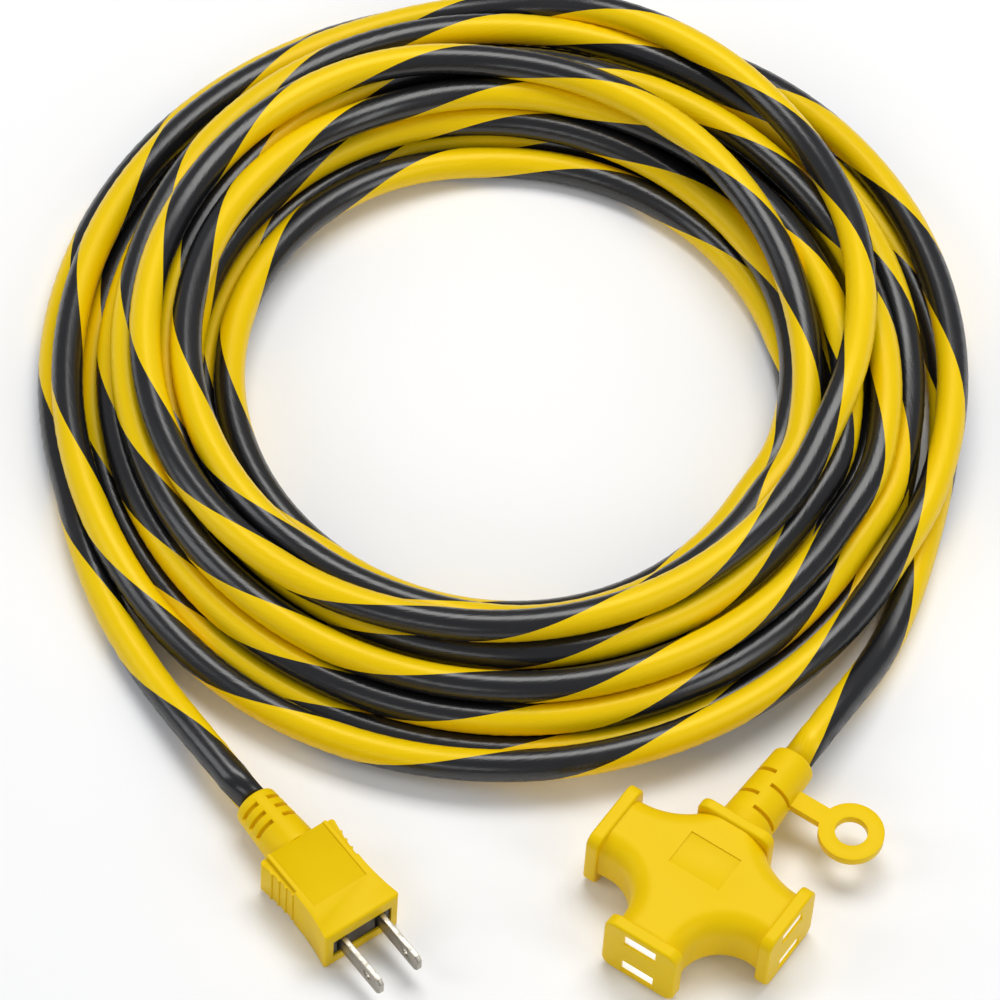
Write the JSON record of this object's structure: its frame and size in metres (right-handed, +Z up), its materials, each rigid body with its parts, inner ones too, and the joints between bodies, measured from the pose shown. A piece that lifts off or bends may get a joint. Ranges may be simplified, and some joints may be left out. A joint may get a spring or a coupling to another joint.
{
  "type": "extension cord",
  "caption": "Extension cord with a cross-shaped triple outlet tap, shuttered blade windows, a hanging ring, a coiled black and yellow spiral cord and a two-blade plug",
  "frame": {"origin": "on the surface under the middle of the tap's footprint (the tap alone, without its strain relief)", "axes": "+Z up; +X and -X through the tap's two side outlets; +Y from the tap along the cord; -Y through the front outlet"},
  "size_m": [0.3089, 0.3224, 0.03],
  "materials": {
    "yellow_pvc": "satin moulded soft PVC",
    "cord_jacket": "smooth PVC cord jacket, half black and half yellow in a long spiral",
    "white_thermoset": "hard moulded insulating block",
    "dark_block": "dark brown-black hard moulding",
    "white_plastic": "white moulded shutter",
    "brass_parts": "stamped brass",
    "nickel_blades": "nickel-plated brass, drawn finish",
    "steel_wire": "spring steel wire",
    "tinned_crimp": "tinned crimp barrel",
    "bare_copper": "bare copper strands",
    "black_insulation": "black core insulation",
    "white_insulation": "white core insulation"
  },
  "bodies": {
    "root": {"tap_jacket": "yellow_pvc", "tap_strain_relief": "yellow_pvc", "plug_jacket": "yellow_pvc", "plug_strain_relief": "yellow_pvc", "cord_to_tap": "cord_jacket", "cord_coil": "cord_jacket", "cord_to_plug": "cord_jacket", "tap_cord_end": "cord_jacket", "plug_cord_end": "cord_jacket", "tap_inner_base": "white_thermoset", "tap_inner_cover": "white_thermoset", "insulating_core": "white_thermoset", "plug_inner_block": "dark_block", "upper_busbar": "brass_parts", "lower_busbar": "brass_parts", "contact_rivets": "brass_parts", "front_upper_clip": "brass_parts", "front_lower_clip": "brass_parts", "right_upper_clip": "brass_parts", "right_lower_clip": "brass_parts", "left_upper_clip": "brass_parts", "left_lower_clip": "brass_parts", "left_blade": "nickel_blades", "right_blade": "nickel_blades", "front_upper_spring": "steel_wire", "front_lower_spring": "steel_wire", "right_upper_spring": "steel_wire", "right_lower_spring": "steel_wire", "left_upper_spring": "steel_wire", "left_lower_spring": "steel_wire", "tap_crimps": "tinned_crimp", "plug_crimps": "tinned_crimp", "tap_conductors": "bare_copper", "plug_conductors": "bare_copper", "tap_core_black": "black_insulation", "plug_core_black": "black_insulation", "tap_core_white": "white_insulation", "plug_core_white": "white_insulation"},
    "front_upper_slide": {"front_upper_shutter": "white_plastic"},
    "front_lower_slide": {"front_lower_shutter": "white_plastic"},
    "right_upper_slide": {"right_upper_shutter": "white_plastic"},
    "right_lower_slide": {"right_lower_shutter": "white_plastic"},
    "left_upper_slide": {"left_upper_shutter": "white_plastic"},
    "left_lower_slide": {"left_lower_shutter": "white_plastic"}
  },
  "joints": [
    {"name": "front_upper_shutter_travel", "type": "slide", "parent": "root", "child": "front_upper_slide", "axis": [0, 0, -1], "range_m": [0, 0.0032], "stiffness_N_per_m": 20, "springref_m": -0.002, "deforming": ["front_upper_spring"]},
    {"name": "front_lower_shutter_travel", "type": "slide", "parent": "root", "child": "front_lower_slide", "axis": [0, 0, 1], "range_m": [0, 0.0032], "stiffness_N_per_m": 20, "springref_m": -0.002, "deforming": ["front_lower_spring"]},
    {"name": "right_upper_shutter_travel", "type": "slide", "parent": "root", "child": "right_upper_slide", "axis": [0, 0, -1], "range_m": [0, 0.0032], "stiffness_N_per_m": 20, "springref_m": -0.002, "deforming": ["right_upper_spring"]},
    {"name": "right_lower_shutter_travel", "type": "slide", "parent": "root", "child": "right_lower_slide", "axis": [0, 0, 1], "range_m": [0, 0.0032], "stiffness_N_per_m": 20, "springref_m": -0.002, "deforming": ["right_lower_spring"]},
    {"name": "left_upper_shutter_travel", "type": "slide", "parent": "root", "child": "left_upper_slide", "axis": [0, 0, -1], "range_m": [0, 0.0032], "stiffness_N_per_m": 20, "springref_m": -0.002, "deforming": ["left_upper_spring"]},
    {"name": "left_lower_shutter_travel", "type": "slide", "parent": "root", "child": "left_lower_slide", "axis": [0, 0, 1], "range_m": [0, 0.0032], "stiffness_N_per_m": 20, "springref_m": -0.002, "deforming": ["left_lower_spring"]}
  ]
}
